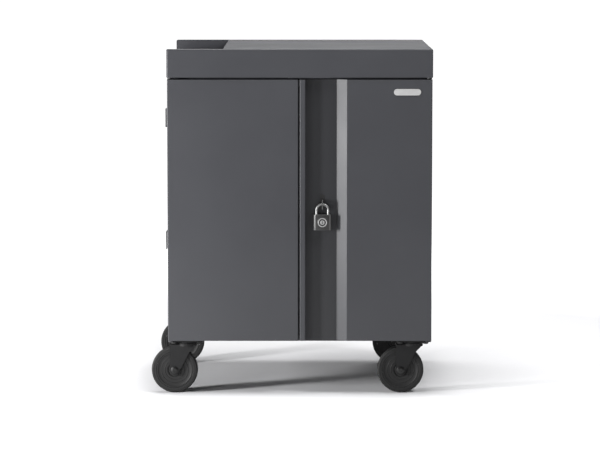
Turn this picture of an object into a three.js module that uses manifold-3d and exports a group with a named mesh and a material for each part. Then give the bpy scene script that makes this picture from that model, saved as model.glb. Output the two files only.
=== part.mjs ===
// Laptop charging cart: a folded sheet-steel cabinet on four swivel casters.
// Millimetres, +Z up, the front faces -Y, and the origin is on the floor at the middle of the footprint.
import * as THREE from "three";
import { mergeVertices } from "three/addons/utils/BufferGeometryUtils.js";
import Module from "manifold-3d";

const wasm = await Module();
wasm.setup();

// Overall sizes
const capWidth = 738;
const capDepth = 670;
const overallHeight = 968;
const capHeight = 78.5;
const capOverhang = 1.5;
const doorSetback = 2;
const capDoorGap = 6;

// Sheet metal
const sheet = 1.5;
const plateSheet = 2;
const sideFlange = 20;
const bendRadius = 2.5;
const deckFlange = 24;
const baseLip = 12;
const capEdge = 4;
const capCorner = 5;
const capHem = 15;

// Clearances
const seatGap = 0.3;
const runGap = 0.4;
const cutPast = 1;

// Tray let into the left end of the cap
const trayWidth = 157;
const trayRim = 12;
const trayDepth = 45;
const trayLip = 8;

// Doors
const doorDepth = 28;
const doorRearGap = 4;
const doorMeetGap = 4;
const doorReturn = 20;
const splitX = 0;
const stripWidth = 15.5;
const recessFloor = 87.5;
const recessFlank = 28;
const recessDepth = 21;

// Door pivots
const pivotInset = 8;
const pinRadius = 4;
const washerRadius = 6.5;
const pinReach = 16;
const lowerHingeSpace = 2.5;
const earRoot = 12;

// Lock bar and the bolt of the left door
const lockInset = 63;
const barWidth = 26;
const barThickness = 3;
const barGap = 0.5;
const barBelow = 65.5;
const boltTravel = 14;
const tabThickness = 3;
const tabSetback = 0.5;
const tabBelow = 14.5;
const tabAbove = 12.5;
const tabCorner = 5;
const tabHole = 4.8;
const slotWidth = 14;
const guideHeight = 20;
const guideFoot = 9;
const guideDrop = 90.5;
const guideRise = 56.5;
const leftBoltWidth = 10;
const leftBoltLength = 118;
const leftGuideFoot = 3.2;
const leftGuideDrop = 50.5;
const knobRadius = 3.5;
const knobReach = 8;
const knobRise = 30;
const keeperSide = 14;
const keeperFront = 8;

// Padlock
const padlockRise = 382;
const padlockWidth = 48;
const padlockHeight = 43;
const padlockThickness = 20;
const padlockCorner = 4;
const padlockEdge = 1.5;
const padlockRearGap = 1;
const shackleRadius = 3.5;
const shackleSpan = 32.7;
const shackleRise = 28.5;
const longLeg = 20;
const shortLeg = 9;
const bezelRadius = 12.5;
const bezelProud = 0.8;
const plugRadius = 9.5;
const plugDepth = 7;
const keywayWidth = 1.8;
const keywayHeight = 9;
const keywayDepth = 4;

// Interior
const shelfLift = 10.4;
const shelfFlange = 20;
const shelfPast = 17;
const powerBayDepth = 206;
const partitionGap = 88;
const partitionFlange = 15;
const rackSlots = 12;
const rackSideGap = 2.5;
const rackFrontGap = 11;
const rackRearGap = 8;
const rackFloor = 4;
const rackFootWidth = 20;
const finThickness = 3;
const finHeight = 210;
const finNose = 120;

// Power bay
const stripEndGap = 51;
const stripHeight = 44;
const stripDepth = 36;
const stripCorner = 4;
const stripDrop = 65;
const outletCount = 12;
const outletEnd = 40;
const outletWidth = 34;
const outletHeight = 32;
const outletProud = 1.5;
const adapterShelfSide = 26;
const adapterShelfDepth = 150;
const adapterShelfRise = 105;
const adapterShelfFlange = 30;
const adapterShelfLip = 8;
const controllerWidth = 200;
const controllerDepth = 120;
const controllerHeight = 65;
const controllerCorner = 5;
const controllerSide = 36;
const controllerRearGap = 31;
const switchWidth = 24;
const switchHeight = 16;
const switchDepth = 9;
const switchProud = 3;
const switchTilt = 7;
const switchInset = 140;
const inletRise = 76;
const inletFlangeWidth = 50;
const inletFlangeHeight = 24;
const inletFlange = 2.5;
const inletBodyWidth = 28;
const inletBodyHeight = 20;
const inletBodyDepth = 22;
const inletWall = 2;
const inletFloor = 4;

// Cord brackets on the left side
const bracketRearGap = 101;
const bracketDrop = 140.5;
const bracketRise = 224.5;
const bracketReach = 29;
const bracketHeight = 54;
const bracketWidth = 40;
const bracketSheet = 2.5;

// Rear door lock and vents
const rearLockInset = 37.5;
const barrelRadius = 9;
const barrelHead = 12;
const barrelHeadDepth = 2.2;
const camGap = 3;
const camThickness = 3;
const camWidth = 14;
const camLength = 33;
const ventLength = 120;
const ventHeight = 3.6;
const ventPitch = 14;
const ventRows = 6;
const ventColumns = 3;
const ventColumnPitch = 180;
const ventDrop = 100.5;
const ventRise = 98.5;

// Magnetic catches
const catchWidth = 36;
const catchHeight = 14;
const catchDrop = 18;
const catchLeft = -60;
const catchRight = 170;

// Casters
const wheelDiameter = 130;
const wheelWidth = 32;
const tyreDepth = 13.5;
const tyreShoulder = 5;
const trail = 34;
const casterInset = 50;
const casterEdge = 3;
const casterPlateLength = 92;
const casterPlateWidth = 60;
const casterPlateSheet = 4;
const casterPlateCorner = 7;
const boltSpacingX = 71;
const boltSpacingY = 44;
const boltHead = 7.5;
const boltHeadHeight = 5;
const upperRaceRadius = 25;
const upperRace = 4.4;
const lowerRaceRadius = 29;
const lowerRace = 4;
const crownSheet = 4;
const crownClearance = 3;
const crownLead = 28;
const legSheet = 4;
const legBoss = 13;
const kneeX = 7;
const kneeDrop = 22;
const wheelSideGap = 1.5;
const kingpinRadius = 6;
const kingpinHead = 9;
const kingpinHeadHeight = 3.5;
const axleRadius = 5;
const axleHead = 8.5;
const axleHeadHeight = 5;
const hubRadius = 15;
const hubProud = 0.8;
const rimWidth = 30;
const rimWall = 5;
const webWidth = 18;

// Facets of the round pieces
const arcSteps = 2;
const bossSteps = 6;
const wheelFacets = 24;
const pinFacets = 12;
const hexFacets = 6;
const shackleFacets = 10;
const shackleSteps = 20;

// Heights, worked up from the floor and down from the top
const wheelRadius = wheelDiameter / 2;
const crownUnder = wheelDiameter + crownClearance;
const crownTop = crownUnder + crownSheet;
const raceTop = crownTop + lowerRace;
const casterPlateUnder = raceTop + seatGap + upperRace;
const casterPlateTop = casterPlateUnder + casterPlateSheet;
const baseUnder = casterPlateTop + seatGap;
const baseTop = baseUnder + plateSheet;
const doorBottom = baseTop + lowerHingeSpace;
const capBottom = overallHeight - capHeight;
const deckTop = capBottom - seatGap;
const deckUnder = deckTop - plateSheet;
const doorTop = capBottom - capDoorGap;
const capUnder = overallHeight - sheet;
const trayTop = overallHeight - trayDepth;
const shelfRise = (deckUnder - baseTop) / 2 + shelfLift;
const shelfTop = baseTop + shelfRise;
const partitionHeight = shelfRise - partitionGap;
const stripRise = partitionHeight - stripDrop;
const padlockHang = doorBottom + padlockRise;
const barLow = padlockHang - barBelow;
const guideLow = padlockHang + guideRise;
const guideHigh = doorTop - guideDrop;
const leftGuideHigh = doorTop - leftGuideDrop;
const bracketUpper = doorTop - bracketDrop;
const bracketLower = doorBottom + bracketRise;
const ventUpper = doorTop - ventDrop;
const ventLower = doorBottom + ventRise;
const rearLockZ = (doorBottom + doorTop) / 2;
const inletZ = baseTop + inletRise;

// Widths and depths, measured from the middle of the cabinet
const capHalfWidth = capWidth / 2;
const capHalfDepth = capDepth / 2;
const bodyHalf = capHalfWidth - capOverhang;
const panelInner = bodyHalf - sheet - seatGap;
const doorFace = capHalfDepth - doorSetback;
const doorBack = doorFace - doorDepth;
const carcass = doorBack - doorRearGap;
const pivotX = bodyHalf - pivotInset;
const pivotY = doorFace - doorDepth / 2;
const pinHole = pinRadius + runGap;
const flangeInner = bodyHalf - sideFlange - seatGap;
const recessFace = doorFace - recessDepth;
const barFront = recessFace - sheet - barGap;
const barBack = barFront - barThickness;
const leftDoorEdge = splitX - doorMeetGap;
const leftBoltX = leftDoorEdge - doorReturn / 2;
const leftBoltBack = doorBack + sheet + seatGap;
const leftBoltFront = leftBoltBack + barThickness;
const boltTop = doorTop - sheet - seatGap;
const trayWall = trayWidth - capHalfWidth;
const trayHalfDepth = capHalfDepth - trayRim;
const casterX = bodyHalf - casterInset;
const casterY = carcass - casterEdge - casterPlateWidth / 2;
const wheelReach = casterX + trail + wheelRadius;
const footprintShift = (wheelReach - capHalfWidth) / 2;
const padlockY = recessFace + padlockRearGap + padlockThickness / 2;
const lockX = splitX + lockInset;
const partitionY = carcass - powerBayDepth;
const shelfRear = partitionY + shelfPast;
const bracketY = carcass - bracketRearGap;
const adapterShelfHalf = panelInner - adapterShelfSide;
const stripHalf = panelInner - stripEndGap;
const outletPitch = (2 * (stripHalf - outletEnd)) / (outletCount - 1);
const controllerLeft = panelInner - controllerSide;
const controllerRear = carcass - controllerRearGap;
const switchX = controllerLeft - switchInset;

// Finishes
const paint = { color: 0x56585c, roughness: 0.55, metalness: 0.2 };
const darkPaint = { color: 0x2c2d30, roughness: 0.6, metalness: 0.2 };
const zinc = { color: 0x9a9ca0, roughness: 0.4, metalness: 0.9 };
const chrome = { color: 0xc8cacd, roughness: 0.2, metalness: 1 };
const blackPlastic = { color: 0x1d1e20, roughness: 0.5, metalness: 0 };
const greyPlastic = { color: 0x75787c, roughness: 0.6, metalness: 0 };
const rubber = { color: 0x1f1f21, roughness: 0.8, metalness: 0 };
const redPlastic = { color: 0xa02420, roughness: 0.4, metalness: 0 };

const cart = new THREE.Group();
cart.position.x = footprintShift;

// Solids from three.js geometry, and meshes from solids
function solid(geometry) {
  geometry.deleteAttribute("normal");
  geometry.deleteAttribute("uv");
  const merged = mergeVertices(geometry);
  const corners = Array.from(merged.index.array);
  const triVerts = [];
  for (let i = 0; i < corners.length; i += 3) {
    const [a, b, c] = corners.slice(i, i + 3);
    if (a !== b && b !== c && c !== a) triVerts.push(a, b, c);
  }
  const vertProperties = new Float32Array(merged.attributes.position.array);
  const mesh = new wasm.Mesh({ numProp: 3, vertProperties, triVerts: new Uint32Array(triVerts) });
  return new wasm.Manifold(mesh);
}

function add(parent, name, body, finish) {
  const { vertProperties, triVerts } = body.getMesh();
  const geometry = new THREE.BufferGeometry();
  geometry.setAttribute("position", new THREE.BufferAttribute(vertProperties, 3));
  geometry.setIndex(new THREE.BufferAttribute(triVerts, 1));
  geometry.computeVertexNormals();
  const mesh = new THREE.Mesh(geometry, new THREE.MeshStandardMaterial(finish));
  mesh.name = name;
  parent.add(mesh);
}

function box(x0, x1, y0, y1, z0, z1) {
  const geometry = new THREE.BoxGeometry(x1 - x0, y1 - y0, z1 - z0);
  geometry.translate((x0 + x1) / 2, (y0 + y1) / 2, (z0 + z1) / 2);
  return solid(geometry);
}

// Outlines: corners are [x, y] or [x, y, fillet radius]
function outline(corners) {
  const shape = new THREE.Shape();
  const at = (i) => new THREE.Vector2(...corners[(i + corners.length) % corners.length].slice(0, 2));
  corners.forEach(([, , radius = 0], i) => {
    const corner = at(i);
    const before = at(i - 1).sub(corner).normalize();
    const after = at(i + 1).sub(corner).normalize();
    const half = Math.acos(before.dot(after)) / 2;
    const start = before.clone().multiplyScalar(radius / Math.tan(half)).add(corner);
    if (i === 0) shape.moveTo(start.x, start.y);
    else shape.lineTo(start.x, start.y);
    if (radius === 0) return;
    const middle = before.clone().add(after).setLength(radius / Math.sin(half)).add(corner);
    const end = after.clone().multiplyScalar(radius / Math.tan(half)).add(corner);
    const [from, to] = [start, end].map((point) => point.sub(middle).angle());
    shape.absarc(middle.x, middle.y, radius, from, to, before.cross(after) > 0);
  });
  shape.closePath();
  return shape;
}

function rectangle(width, height, radius) {
  const [x, y] = [width / 2, height / 2];
  return outline([[-x, -y, radius], [x, -y, radius], [x, y, radius], [-x, y, radius]]);
}

// A path moved sideways to its left by a distance, with mitred corners
function offset(path, distance, closed) {
  const last = path.length - 1;
  const leftOf = ([x0, y0], [x1, y1]) => new THREE.Vector2(y0 - y1, x1 - x0).normalize();
  return path.map((here, i) => {
    const before = i > 0 ? path[i - 1] : path[last];
    const after = i < last ? path[i + 1] : path[0];
    const first = closed || i > 0 ? leftOf(before, here) : leftOf(here, after);
    const second = closed || i < last ? leftOf(here, after) : first;
    const move = first.clone().add(second).multiplyScalar(distance / (1 + first.dot(second)));
    return [here[0] + move.x, here[1] + move.y];
  });
}

// The section of a bent sheet that lies to the left of a path
function bent(path, thickness) {
  return outline([...path, ...offset(path, thickness, false).reverse()]);
}

// The turn that lays a piece drawn across Z across another axis
function turnTo(axis) {
  const alongX = new THREE.Vector3(1, 0, 0);
  const alongY = new THREE.Vector3(0, 1, 0);
  const alongZ = new THREE.Vector3(0, 0, 1);
  if (axis === "x") return new THREE.Matrix4().makeBasis(alongY, alongZ, alongX);
  if (axis === "y") return new THREE.Matrix4().makeBasis(alongX, alongZ, alongY.negate());
  return new THREE.Matrix4();
}

// A shape drawn across an axis and extruded from low to high along it
function prism(shape, axis, low, high, curveSegments = arcSteps) {
  const depth = high - low;
  const geometry = new THREE.ExtrudeGeometry(shape, { depth, bevelEnabled: false, curveSegments });
  geometry.translate(0, 0, axis === "y" ? -high : low);
  return solid(geometry.applyMatrix4(turnTo(axis)));
}

// A turned piece: profile points are [radius, height], counter-clockwise
function turned(profile, axis, facets) {
  const points = profile.map(([radius, height]) => new THREE.Vector2(radius, height));
  const geometry = new THREE.LatheGeometry(points, facets);
  if (axis === "z") geometry.rotateX(Math.PI / 2);
  if (axis === "x") geometry.rotateZ(-Math.PI / 2);
  return solid(geometry);
}

function rod(radius, low, high, axis, facets = pinFacets) {
  return turned([[0, low], [radius, low], [radius, high], [0, high]], axis, facets);
}

// Cabinet shell
function ear(x, side, low, high) {
  const shape = new THREE.Shape();
  shape.moveTo(x - pivotInset, side * (carcass - earRoot));
  shape.lineTo(x + pivotInset, side * (carcass - earRoot));
  shape.lineTo(x + pivotInset, side * pivotY);
  shape.absarc(x, side * pivotY, pivotInset, 0, side * Math.PI, side < 0);
  shape.closePath();
  return prism(shape, "z", low, high, bossSteps);
}

const pivots = [
  { name: "left_door", x: -pivotX, side: -1 },
  { name: "right_door", x: pivotX, side: -1 },
  { name: "rear_door", x: pivotX, side: 1 },
];

// A full-size sheet with an ear and a pin hole for each door pivot
function pivotSheet(low, high) {
  let body = box(-bodyHalf, bodyHalf, -carcass, carcass, low, high);
  for (const { x, side } of pivots) {
    const hole = rod(pinHole, low - cutPast, high + cutPast, "z").translate([x, side * pivotY, 0]);
    body = body.add(ear(x, side, low, high)).subtract(hole);
  }
  return body;
}

function sidePanel(side) {
  const tip = side * (bodyHalf - sideFlange);
  const path = [[tip, -carcass], [side * bodyHalf, -carcass], [side * bodyHalf, carcass], [tip, carcass]];
  const section = bent(path, side * sheet);
  return prism(section, "z", baseTop + seatGap, deckUnder - seatGap);
}

function inletOpening() {
  const [halfWidth, halfHeight] = [inletBodyWidth / 2 + seatGap, inletBodyHeight / 2 + seatGap];
  const inner = -bodyHalf + sheet + cutPast;
  return box(-bodyHalf - cutPast, inner, bracketY - halfWidth, bracketY + halfWidth,
    inletZ - halfHeight, inletZ + halfHeight);
}

function basePan() {
  let body = pivotSheet(baseUnder, baseTop);
  for (const side of [-1, 1]) {
    const [front, rear] = [side * carcass, side * (carcass - sheet)].sort((a, b) => a - b);
    body = body.add(box(-flangeInner, flangeInner, front, rear, baseUnder, baseTop + baseLip));
  }
  return body;
}

// The deck carries the keeper that the two door bolts rise into
function boltSlot(x, width, front, back, low, high) {
  const half = width / 2 + runGap;
  return box(x - half, x + half, -front - runGap, -back + runGap, low - cutPast, high + cutPast);
}

function topDeck() {
  let body = pivotSheet(deckUnder, deckTop);
  const keeperLeft = leftBoltX - leftBoltWidth / 2 - keeperSide;
  const keeperRight = lockX + barWidth / 2 + keeperSide;
  const keeper = outline([
    [keeperLeft, -carcass + earRoot], [keeperLeft, -barFront - keeperFront, keeperFront],
    [keeperRight, -barFront - keeperFront, keeperFront], [keeperRight, -carcass + earRoot],
  ]);
  body = body.add(prism(keeper, "z", deckUnder, deckTop));
  for (const side of [-1, 1]) {
    const [front, rear] = [side * carcass, side * (carcass - sheet)].sort((a, b) => a - b);
    body = body.add(box(-flangeInner, flangeInner, front, rear, deckUnder - deckFlange, deckTop));
  }
  return body
    .subtract(boltSlot(lockX, barWidth, barFront, barBack, deckUnder, deckTop))
    .subtract(boltSlot(leftBoltX, leftBoltWidth, leftBoltFront, leftBoltBack, deckUnder, deckTop));
}

function pivotPin(low, flangeLow, flangeHigh, high) {
  return turned([
    [0, low], [pinRadius, low], [pinRadius, flangeLow], [washerRadius, flangeLow],
    [washerRadius, flangeHigh], [pinRadius, flangeHigh], [pinRadius, high], [0, high],
  ], "z", pinFacets);
}

function buildShell() {
  add(cart, "left_side_panel", sidePanel(-1).subtract(inletOpening()), paint);
  add(cart, "right_side_panel", sidePanel(1), paint);
  add(cart, "base_pan", basePan(), paint);
  add(cart, "top_deck", topDeck(), paint);
  const lower = pivotPin(baseUnder, baseTop + seatGap, doorBottom - seatGap, doorBottom + pinReach);
  const upper = pivotPin(doorTop - pinReach, doorTop + seatGap, deckUnder - seatGap, deckTop);
  for (const { name, x, side } of pivots) {
    add(cart, `${name}_lower_pin`, lower.translate([x, side * pivotY, 0]), zinc);
    add(cart, `${name}_upper_pin`, upper.translate([x, side * pivotY, 0]), zinc);
  }
  const front = carcass + doorRearGap - seatGap;
  for (const [name, x] of [["left_door_catch", catchLeft], ["right_door_catch", catchRight]]) {
    const high = doorTop - catchDrop + catchHeight;
    const block = box(x - catchWidth / 2, x + catchWidth / 2, -front, -carcass - seatGap,
      doorTop - catchDrop, high);
    add(cart, name, block, blackPlastic);
  }
}

// Top cap: a shell with rounded top edges, a hem at its foot and the tray opening at its left end
function topCap() {
  const geometry = new THREE.ExtrudeGeometry(rectangle(capWidth, capDepth, capCorner), {
    depth: capHeight - capEdge,
    bevelThickness: capEdge,
    bevelSize: capEdge,
    bevelOffset: -capEdge,
    bevelSegments: arcSteps,
    curveSegments: arcSteps,
  });
  geometry.translate(0, 0, capBottom);
  const below = box(-capWidth, capWidth, -capDepth, capDepth, capBottom - capHeight, capBottom);
  const [x, y] = [capHalfWidth - sheet, capHalfDepth - sheet];
  const hollow = box(-x, x, -y, y, capBottom + sheet, capUnder);
  const mouth = box(capHem - x, x - capHem, capHem - y, y - capHem,
    capBottom - cutPast, capBottom + 2 * sheet);
  const opening = box(-capWidth, trayWall, -trayHalfDepth, trayHalfDepth,
    trayTop + trayLip, overallHeight + cutPast);
  return solid(geometry).subtract(below).subtract(hollow).subtract(mouth).subtract(opening);
}

function topTray() {
  const left = -capHalfWidth + sheet + seatGap;
  const [y, high] = [trayHalfDepth, capUnder - seatGap];
  return box(left, trayWall + sheet, -y - sheet, y + sheet, trayTop - sheet, high)
    .subtract(box(left + sheet, trayWall, -y, y, trayTop, overallHeight))
    .subtract(box(-capWidth, left + 2 * sheet, -y, y, trayTop + trayLip, overallHeight));
}

// Doors: pans with closed ends and return flanges round the open back
function doorPan(corners, low, high, side) {
  const inner = offset(corners, sheet, true);
  const back = side * doorBack;
  const backDepth = sheet + cutPast;
  return prism(outline(corners), "z", doorBottom, doorTop)
    .subtract(prism(outline(inner), "z", doorBottom + sheet, doorTop - sheet))
    .subtract(box(low + doorReturn, high - doorReturn, back - backDepth, back + backDepth,
      doorBottom + doorReturn, doorTop - doorReturn));
}

function pinHoles(x, side) {
  return rod(pinHole, doorBottom - cutPast, doorTop + cutPast, "z").translate([x, side * pivotY, 0]);
}

function leftDoor() {
  const pan = doorPan([
    [-bodyHalf, -doorFace, bendRadius], [leftDoorEdge, -doorFace, bendRadius],
    [leftDoorEdge, -doorBack], [-bodyHalf, -doorBack],
  ], -bodyHalf, leftDoorEdge, -1);
  const knobZ = boltTop - leftBoltLength + knobRise;
  const half = knobRadius + runGap;
  const knobSlot = box(leftBoltX - half, leftBoltX + half, -doorBack - sheet - cutPast, -doorBack + cutPast,
    knobZ - half, knobZ + boltTravel + half);
  return pan
    .subtract(pinHoles(-pivotX, -1))
    .subtract(boltSlot(leftBoltX, leftBoltWidth, leftBoltFront, leftBoltBack, doorTop - sheet, doorTop))
    .subtract(knobSlot);
}

function rightDoor() {
  const floorLeft = splitX + stripWidth;
  const floorRight = floorLeft + recessFloor;
  const pan = doorPan([
    [splitX, -doorFace, bendRadius], [floorLeft, -doorFace, bendRadius],
    [floorLeft, -recessFace, bendRadius], [floorRight, -recessFace, bendRadius],
    [floorRight + recessFlank, -doorFace, bendRadius], [bodyHalf, -doorFace, bendRadius],
    [bodyHalf, -doorBack], [splitX, -doorBack],
  ], splitX, bodyHalf, -1);
  const tabSlot = box(lockX - slotWidth / 2, lockX + slotWidth / 2,
    -recessFace - cutPast, -recessFace + sheet + cutPast,
    padlockHang - tabBelow - seatGap, padlockHang + tabAbove + boltTravel + runGap);
  return pan
    .subtract(pinHoles(pivotX, -1))
    .subtract(boltSlot(lockX, barWidth, barFront, barBack, doorTop - sheet, doorTop))
    .subtract(tabSlot);
}

// A strap that holds a sliding bar against the door: foot is the flat on each side of the bar
function strap(x, width, foot, seat, outer, barFar, z) {
  const [half, channel] = [width / 2 + foot, width / 2 + runGap];
  const away = Math.sign(outer - seat);
  const [y0, y1] = [-seat - away * seatGap, -outer].sort((a, b) => a - b);
  const [c0, c1] = [-seat + away * cutPast, -barFar - away * seatGap].sort((a, b) => a - b);
  const [low, high] = [z - guideHeight / 2, z + guideHeight / 2];
  return box(x - half, x + half, y0, y1, low, high)
    .subtract(box(x - channel, x + channel, c0, c1, low - cutPast, high + cutPast));
}

// The lock bar slides behind the recess floor, and its tab comes through the slot
function lockBar() {
  const bar = box(lockX - barWidth / 2, lockX + barWidth / 2, -barFront, -barBack, barLow, boltTop);
  const tab = outline([
    [-barBack, padlockHang - tabBelow], [-barBack, padlockHang + tabAbove],
    [tabSetback - doorFace, padlockHang + tabAbove, tabCorner],
    [tabSetback - doorFace, padlockHang - tabBelow, tabCorner],
  ]);
  const holeZ = padlockHang - shackleRadius - seatGap + tabHole;
  const hole = rod(tabHole, -tabThickness, tabThickness, "x", wheelFacets);
  return bar
    .add(prism(tab, "x", lockX - tabThickness / 2, lockX + tabThickness / 2))
    .subtract(hole.translate([lockX, -padlockY, holeZ]));
}

function leftBolt() {
  const half = leftBoltWidth / 2;
  const low = boltTop - leftBoltLength;
  const knob = rod(knobRadius, -leftBoltBack - barThickness / 2, knobReach - doorBack, "y")
    .translate([leftBoltX, 0, low + knobRise]);
  return box(leftBoltX - half, leftBoltX + half, -leftBoltFront, -leftBoltBack, low, boltTop).add(knob);
}

function buildFrontDoors() {
  add(cart, "left_door", leftDoor(), paint);
  add(cart, "right_door", rightDoor(), paint);
  const leftGuide = strap(leftBoltX, leftBoltWidth, leftGuideFoot, doorBack + sheet,
    leftBoltFront + seatGap + plateSheet, leftBoltFront, leftGuideHigh);
  add(cart, "left_door_bolt", leftBolt(), zinc);
  add(cart, "left_door_bolt_guide", leftGuide, zinc);
  add(cart, "lock_bar", lockBar(), zinc);
  for (const [name, z] of [["lock_bar_upper_guide", guideHigh], ["lock_bar_lower_guide", guideLow]]) {
    const guide = strap(lockX, barWidth, guideFoot, recessFace - sheet,
      barBack - seatGap - sheet, barBack, z);
    add(cart, name, guide, zinc);
  }
}

// Padlock, drawn round the middle of the shackle's bow, where it hangs in the tab
class ShackleLine extends THREE.Curve {
  getPoint(t) {
    const bow = shackleSpan / 2;
    const lengths = [longLeg + shackleRise - bow, Math.PI * bow, shortLeg + shackleRise - bow];
    const along = t * (lengths[0] + lengths[1] + lengths[2]);
    if (along <= lengths[0]) return new THREE.Vector3(-bow, 0, along - shackleRise - longLeg);
    if (along >= lengths[0] + lengths[1]) {
      return new THREE.Vector3(bow, 0, lengths[0] + lengths[1] - along - bow);
    }
    const angle = Math.PI - (along - lengths[0]) / bow;
    return new THREE.Vector3(bow * Math.cos(angle), 0, bow * Math.sin(angle) - bow);
  }
}

function shackle() {
  const section = new THREE.Shape();
  for (let i = 0; i < shackleFacets; i += 1) {
    const angle = (2 * Math.PI * i) / shackleFacets;
    const [x, y] = [shackleRadius * Math.cos(angle), shackleRadius * Math.sin(angle)];
    if (i === 0) section.moveTo(x, y);
    else section.lineTo(x, y);
  }
  section.closePath();
  const options = { steps: shackleSteps, extrudePath: new ShackleLine() };
  return solid(new THREE.ExtrudeGeometry(section, options));
}

function padlockBody() {
  const face = rectangle(padlockWidth, padlockHeight, padlockCorner);
  const geometry = new THREE.ExtrudeGeometry(face, {
    depth: padlockThickness - 2 * padlockEdge,
    bevelThickness: padlockEdge,
    bevelSize: padlockEdge,
    bevelOffset: -padlockEdge,
    bevelSegments: arcSteps,
    curveSegments: arcSteps,
  });
  geometry.translate(0, 0, padlockEdge - padlockThickness / 2);
  geometry.applyMatrix4(turnTo("y"));
  const middle = -shackleRise - padlockHeight / 2;
  const front = -padlockThickness / 2;
  const boreRadius = plugRadius + runGap;
  const boreEnd = front + plugDepth + seatGap;
  let body = solid(geometry).translate([0, 0, middle]);
  const bezel = rod(bezelRadius, front - bezelProud, front + padlockEdge, "y", wheelFacets);
  const bore = rod(boreRadius, front - padlockEdge, boreEnd, "y", wheelFacets);
  body = body.add(bezel.translate([0, 0, middle])).subtract(bore.translate([0, 0, middle]));
  for (const [side, leg] of [[-1, longLeg], [1, shortLeg]]) {
    const hole = rod(shackleRadius + runGap, -shackleRise - leg - cutPast, cutPast - shackleRise, "z");
    body = body.subtract(hole.translate([(side * shackleSpan) / 2, 0, 0]));
  }
  return body;
}

function padlockPlug() {
  const front = -padlockThickness / 2;
  const middle = -shackleRise - padlockHeight / 2;
  const keyway = box(-keywayWidth / 2, keywayWidth / 2, front - cutPast, front + keywayDepth,
    -keywayHeight / 2, keywayHeight / 2);
  const plug = rod(plugRadius, front, front + plugDepth, "y", wheelFacets);
  return plug.subtract(keyway).translate([0, 0, middle]);
}

function buildPadlock() {
  const padlock = new THREE.Group();
  padlock.position.set(lockX, -padlockY, padlockHang);
  cart.add(padlock);
  add(padlock, "padlock_shackle", shackle(), chrome);
  add(padlock, "padlock_body", padlockBody(), darkPaint);
  add(padlock, "padlock_cylinder", padlockPlug(), chrome);
}

// Rear service door with vent slots, and its cam lock
function rearDoor() {
  let body = doorPan([
    [-bodyHalf, doorBack], [bodyHalf, doorBack],
    [bodyHalf, doorFace, bendRadius], [-bodyHalf, doorFace, bendRadius],
  ], -bodyHalf, bodyHalf, 1).subtract(pinHoles(pivotX, 1));
  const lockHole = rod(barrelRadius + runGap, doorFace - sheet - cutPast, doorFace + cutPast, "y");
  body = body.subtract(lockHole.translate([rearLockInset - bodyHalf, 0, rearLockZ]));
  for (const bank of [ventLower, ventUpper]) {
    for (let row = 0; row < ventRows; row += 1) {
      for (let column = 0; column < ventColumns; column += 1) {
        const x = (column - (ventColumns - 1) / 2) * ventColumnPitch;
        const z = bank + (row - (ventRows - 1) / 2) * ventPitch;
        body = body.subtract(box(x - ventLength / 2, x + ventLength / 2,
          doorFace - sheet - cutPast, doorFace + cutPast, z - ventHeight / 2, z + ventHeight / 2));
      }
    }
  }
  return body;
}

function rearLock() {
  const camOuter = carcass - sheet - camGap;
  const camInner = camOuter - camThickness;
  const head = doorFace + seatGap;
  const barrel = turned([
    [0, camInner], [barrelRadius, camInner], [barrelRadius, head], [barrelHead, head],
    [barrelHead, head + barrelHeadDepth], [0, head + barrelHeadDepth],
  ], "y", pinFacets);
  const half = camWidth / 2;
  const cam = outline([[-half, 0], [half, 0], [half, camLength, half], [-half, camLength, half]]);
  const keyway = box(-keywayWidth / 2, keywayWidth / 2, head, head + 2 * barrelHeadDepth,
    -keywayHeight / 2, keywayHeight / 2);
  return barrel.add(prism(cam, "y", camInner, camOuter)).subtract(keyway);
}

function buildRear() {
  add(cart, "rear_door", rearDoor(), paint);
  add(cart, "rear_lock", rearLock().translate([rearLockInset - bodyHalf, 0, rearLockZ]), chrome);
}

// Device bay: shelf, partitions and divider racks
function partition(floor) {
  const rear = partitionY + partitionFlange;
  const path = [
    [panelInner, rear], [panelInner, partitionY],
    [-panelInner, partitionY], [-panelInner, rear],
  ];
  return prism(bent(path, -sheet), "z", floor + seatGap, floor + partitionHeight);
}

function dividerRack(floor) {
  const half = flangeInner - rackSideGap;
  const front = rackFrontGap - carcass;
  const rear = partitionY - rackRearGap;
  const footTop = floor + baseLip;
  const floorTop = footTop + rackFloor;
  let body = box(-half, half, front, rear, footTop, floorTop);
  for (const y of [front, rear - rackFootWidth]) {
    body = body.add(box(-half, half, y, y + rackFootWidth, floor + seatGap, floorTop));
  }
  const high = floorTop + finHeight;
  const fin = outline([[front, footTop], [rear, footTop], [rear, high], [front, high, finNose]]);
  const pitch = (2 * half - finThickness) / rackSlots;
  for (let i = 0; i <= rackSlots; i += 1) {
    const x = -half + i * pitch;
    body = body.add(prism(fin, "x", x, x + finThickness));
  }
  return body;
}

function middleShelf() {
  const front = sheet + seatGap - carcass;
  const path = [[front, shelfTop - shelfFlange], [front, shelfTop], [shelfRear, shelfTop]];
  return prism(bent(path, -sheet), "x", -panelInner, panelInner);
}

function buildDeviceBay() {
  add(cart, "middle_shelf", middleShelf(), paint);
  for (const [tier, floor] of [["lower", baseTop], ["upper", shelfTop]]) {
    add(cart, `${tier}_partition`, partition(floor), paint);
    add(cart, `${tier}_divider_rack`, dividerRack(floor), blackPlastic);
  }
}

// Power bay
function adapterShelf(floor) {
  const near = partitionY + sheet + seatGap;
  const level = floor + adapterShelfRise;
  const path = [
    [near, level + adapterShelfFlange], [near, level],
    [near + adapterShelfDepth, level], [near + adapterShelfDepth, level + adapterShelfLip],
  ];
  return prism(bent(path, sheet), "x", -adapterShelfHalf, adapterShelfHalf);
}

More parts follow.
